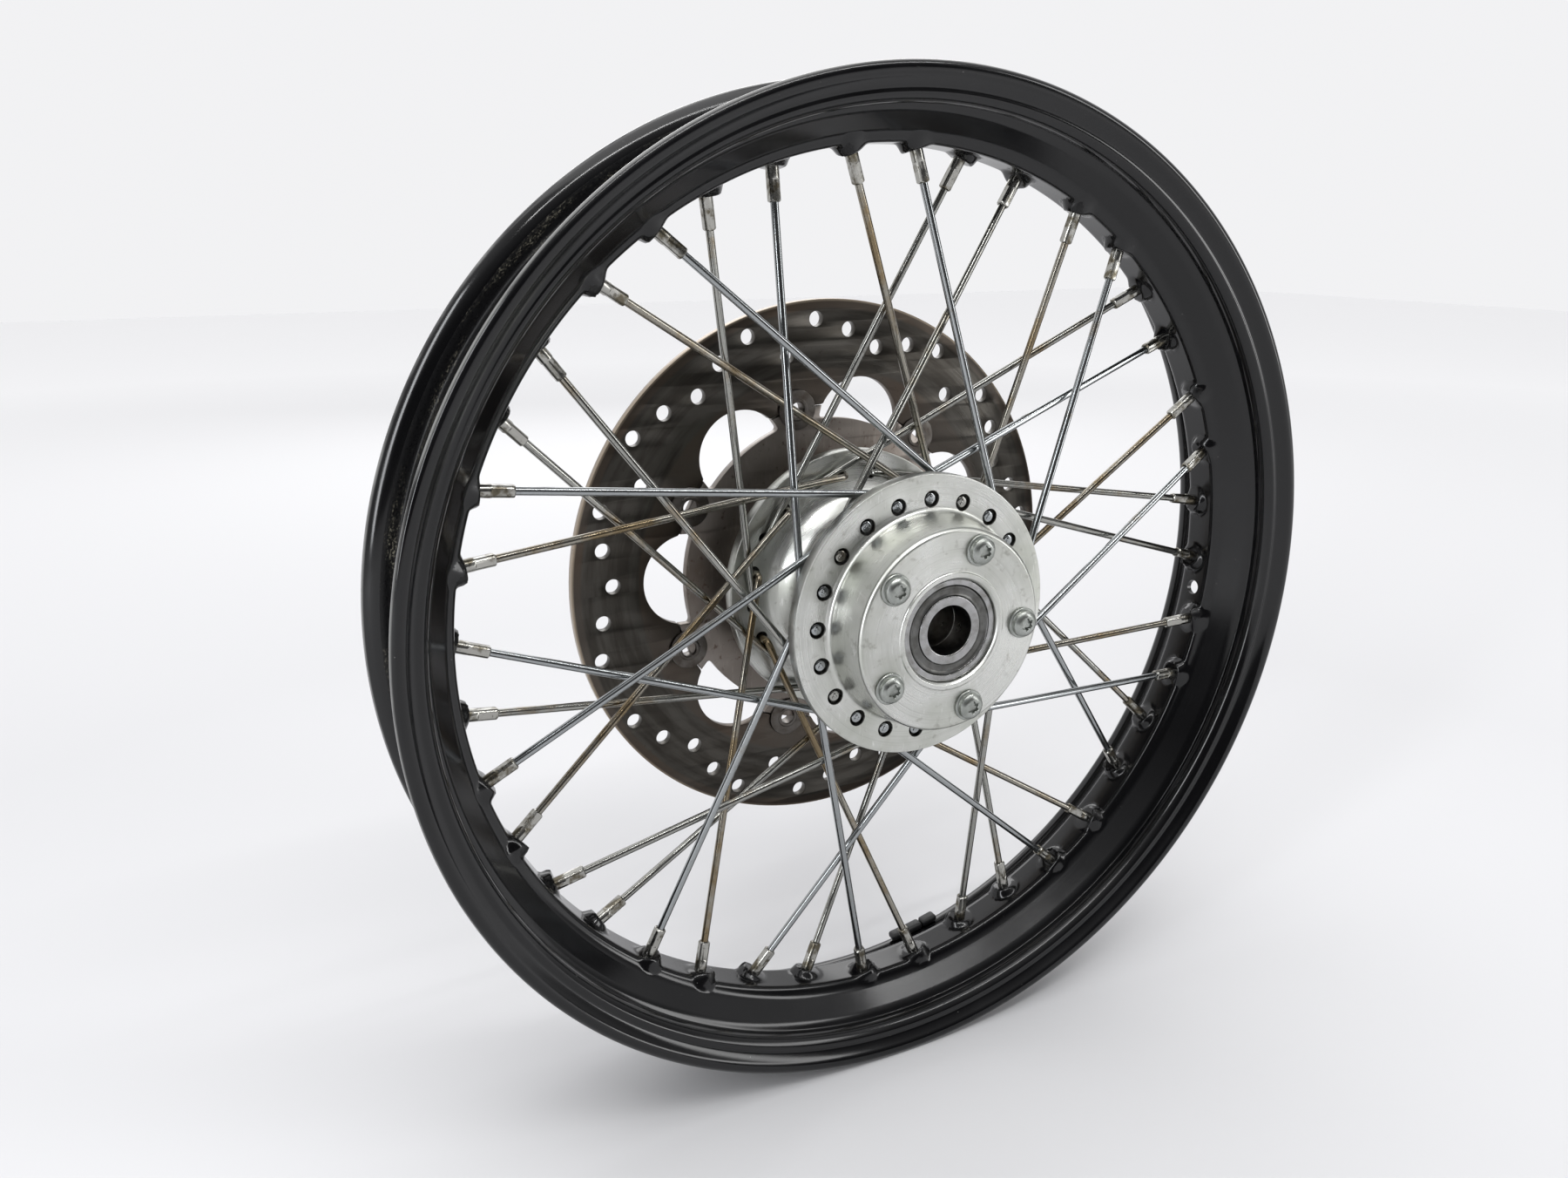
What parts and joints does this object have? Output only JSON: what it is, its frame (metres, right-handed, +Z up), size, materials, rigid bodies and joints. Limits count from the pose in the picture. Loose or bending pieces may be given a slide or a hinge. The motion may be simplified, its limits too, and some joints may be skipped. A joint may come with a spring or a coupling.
{
  "type": "motorcycle spoked wheel",
  "caption": "Laced spoke wheel with a deep black rim, a turned alloy hub on sealed bearings, a floating brake disc on one side and bolts for a second one on the other.",
  "frame": {"origin": "the wheel's centre: on the axle line, midway between the rim's flanges", "axes": "+Y along the axle towards the brake disc, +Z up, +X to the right when seen from the side without the disc"},
  "size_m": [0.5096, 0.1443, 0.5096],
  "materials": {
    "black_rim": "black anodised, satin, with handling scuffs",
    "weight": "black coated blocks",
    "machined_aluminium": "turned and polished, lightly stained",
    "bearing_steel": "ground bearing steel",
    "spacer_steel": "drawn steel tube",
    "disc_steel": "ground stainless steel, heat tinted",
    "carrier_steel": "bead-blasted steel with a brown film",
    "bolt_zinc": "zinc plated, dull green",
    "spoke_steel": "drawn stainless wire, tarnished"
  },
  "bodies": {
    "core": {"near_bearing_inner_ring": "bearing_steel", "brake_side_bearing_inner_ring": "bearing_steel", "bearing_spacer_tube": "spacer_steel"},
    "wheel": {"rim": "black_rim", "balance_weights": "weight", "hub_shell": "machined_aluminium", "near_bearing_outer_ring": "bearing_steel", "near_bearing_shield": "bearing_steel", "brake_side_bearing_outer_ring": "bearing_steel", "brake_side_bearing_shield": "bearing_steel", "brake_disc_carrier": "carrier_steel", "near_face_bolt_1": "bolt_zinc", "near_face_bolt_2": "bolt_zinc", "near_face_bolt_3": "bolt_zinc", "near_face_bolt_4": "bolt_zinc", "near_face_bolt_5": "bolt_zinc", "spoke_01": "spoke_steel", "spoke_02": "spoke_steel", "spoke_03": "spoke_steel", "spoke_04": "spoke_steel", "spoke_05": "spoke_steel", "spoke_06": "spoke_steel", "spoke_07": "spoke_steel", "spoke_08": "spoke_steel", "spoke_09": "spoke_steel", "spoke_10": "spoke_steel", "spoke_11": "spoke_steel", "spoke_12": "spoke_steel", "spoke_13": "spoke_steel", "spoke_14": "spoke_steel", "spoke_15": "spoke_steel", "spoke_16": "spoke_steel", "spoke_17": "spoke_steel", "spoke_18": "spoke_steel", "spoke_19": "spoke_steel", "spoke_20": "spoke_steel", "spoke_21": "spoke_steel", "spoke_22": "spoke_steel", "spoke_23": "spoke_steel", "spoke_24": "spoke_steel", "spoke_25": "spoke_steel", "spoke_26": "spoke_steel", "spoke_27": "spoke_steel", "spoke_28": "spoke_steel", "spoke_29": "spoke_steel", "spoke_30": "spoke_steel", "spoke_31": "spoke_steel", "spoke_32": "spoke_steel", "spoke_33": "spoke_steel", "spoke_34": "spoke_steel", "spoke_35": "spoke_steel", "spoke_36": "spoke_steel", "spoke_37": "spoke_steel", "spoke_38": "spoke_steel", "spoke_39": "spoke_steel", "spoke_40": "spoke_steel"},
    "disc": {"brake_disc_ring": "disc_steel"},
    "near_cage": {"near_bearing_ball_cage": "bearing_steel"},
    "brake_side_cage": {"brake_side_bearing_ball_cage": "bearing_steel"}
  },
  "joints": [
    {"name": "wheel_spin", "type": "hinge", "parent": "core", "child": "wheel", "pos_m": [0, 0, 0], "axis": [0, 1, 0], "continuous": true},
    {"name": "disc_float", "type": "slide", "parent": "wheel", "child": "disc", "axis": [0, 1, 0], "range_m": [-0.00025, 0.00025]},
    {"name": "near_cage_spin", "type": "hinge", "parent": "core", "child": "near_cage", "pos_m": [0, 0, 0], "axis": [0, 1, 0], "continuous": true},
    {"name": "brake_side_cage_spin", "type": "hinge", "parent": "core", "child": "brake_side_cage", "pos_m": [0, 0, 0], "axis": [0, 1, 0], "continuous": true}
  ],
  "couplings": [
    {"joint": "near_cage_spin", "follows": "wheel_spin", "ratio": 0.6},
    {"joint": "brake_side_cage_spin", "follows": "wheel_spin", "ratio": 0.6}
  ]
}
